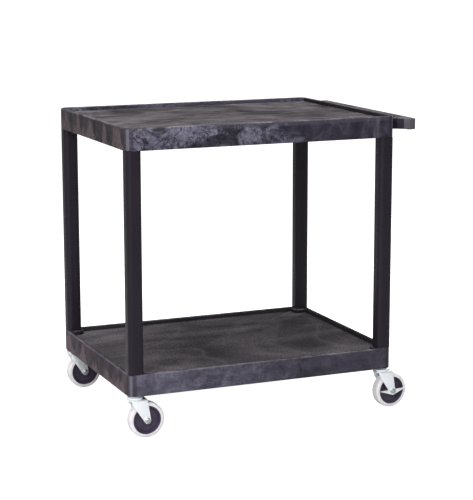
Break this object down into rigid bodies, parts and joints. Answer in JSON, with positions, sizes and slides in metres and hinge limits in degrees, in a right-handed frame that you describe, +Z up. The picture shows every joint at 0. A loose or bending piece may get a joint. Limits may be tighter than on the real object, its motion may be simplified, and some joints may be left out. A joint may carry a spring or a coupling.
{
  "type": "service trolley",
  "caption": "Two-shelf service trolley in dark moulded plastic, with a push handle moulded into the top shelf, square legs and swivel casters with brakes at the handle end.",
  "frame": {"origin": "on the floor, under the middle of the trolley's overall box", "axes": "+X along the trolley towards the push handle, +Y to the back, +Z up"},
  "size_m": [0.888, 0.6186, 0.864],
  "materials": {
    "shelf_plastic": "fine-grained structural foam with pale marbled streaks",
    "leg_plastic": "satin black moulding",
    "zinc_steel": "bright zinc plate",
    "hub_plastic": "smooth dark grey moulding",
    "tyre_rubber": "pale grey non-marking tread, satin"
  },
  "bodies": {
    "cart": {"top_shelf": "shelf_plastic", "bottom_shelf": "shelf_plastic", "leg_fl": "leg_plastic", "leg_fr": "leg_plastic", "leg_bl": "leg_plastic", "leg_br": "leg_plastic", "sleeve_fl": "zinc_steel", "sleeve_fr": "zinc_steel", "sleeve_bl": "zinc_steel", "sleeve_br": "zinc_steel", "stem_fl": "zinc_steel", "stem_fr": "zinc_steel", "stem_bl": "zinc_steel", "stem_br": "zinc_steel"},
    "caster_fl": {"fork_fl": "zinc_steel", "ball_ring_fl": "zinc_steel", "axle_fl": "zinc_steel", "nut_fl": "zinc_steel"},
    "wheel_fl": {"hub_fl": "hub_plastic", "tyre_fl": "tyre_rubber"},
    "caster_fr": {"fork_fr": "zinc_steel", "ball_ring_fr": "zinc_steel", "axle_fr": "zinc_steel", "nut_fr": "zinc_steel"},
    "wheel_fr": {"hub_fr": "hub_plastic", "tyre_fr": "tyre_rubber"},
    "brake_fr": {"brake_lever_fr": "zinc_steel"},
    "caster_bl": {"fork_bl": "zinc_steel", "ball_ring_bl": "zinc_steel", "axle_bl": "zinc_steel", "nut_bl": "zinc_steel"},
    "wheel_bl": {"hub_bl": "hub_plastic", "tyre_bl": "tyre_rubber"},
    "caster_br": {"fork_br": "zinc_steel", "ball_ring_br": "zinc_steel", "axle_br": "zinc_steel", "nut_br": "zinc_steel"},
    "wheel_br": {"hub_br": "hub_plastic", "tyre_br": "tyre_rubber"},
    "brake_br": {"brake_lever_br": "zinc_steel"}
  },
  "joints": [
    {"name": "swivel_fl", "type": "hinge", "parent": "cart", "child": "caster_fl", "pos_m": [-0.42, -0.281, 0.11], "axis": [0, 0, 1], "continuous": true},
    {"name": "roll_fl", "type": "hinge", "parent": "caster_fl", "child": "wheel_fl", "pos_m": [-0.39, -0.281, 0.0508], "axis": [0, 1, 0], "continuous": true},
    {"name": "swivel_fr", "type": "hinge", "parent": "cart", "child": "caster_fr", "pos_m": [0.345, -0.281, 0.11], "axis": [0, 0, 1], "continuous": true},
    {"name": "roll_fr", "type": "hinge", "parent": "caster_fr", "child": "wheel_fr", "pos_m": [0.37491, -0.27865, 0.0508], "axis": [-0.0785, 0.9969, 0], "continuous": true},
    {"name": "brake_rock_fr", "type": "hinge", "parent": "caster_fr", "child": "brake_fr", "pos_m": [0.37491, -0.27865, 0.0508], "axis": [-0.0785, 0.9969, 0], "range_deg": [0, 12]},
    {"name": "swivel_bl", "type": "hinge", "parent": "cart", "child": "caster_bl", "pos_m": [-0.42, 0.281, 0.11], "axis": [0, 0, 1], "continuous": true},
    {"name": "roll_bl", "type": "hinge", "parent": "caster_bl", "child": "wheel_bl", "pos_m": [-0.39, 0.281, 0.0508], "axis": [0, 1, 0], "continuous": true},
    {"name": "swivel_br", "type": "hinge", "parent": "cart", "child": "caster_br", "pos_m": [0.345, 0.281, 0.11], "axis": [0, 0, 1], "continuous": true},
    {"name": "roll_br", "type": "hinge", "parent": "caster_br", "child": "wheel_br", "pos_m": [0.375, 0.281, 0.0508], "axis": [0, 1, 0], "continuous": true},
    {"name": "brake_rock_br", "type": "hinge", "parent": "caster_br", "child": "brake_br", "pos_m": [0.375, 0.281, 0.0508], "axis": [0, 1, 0], "range_deg": [0, 12]}
  ]
}
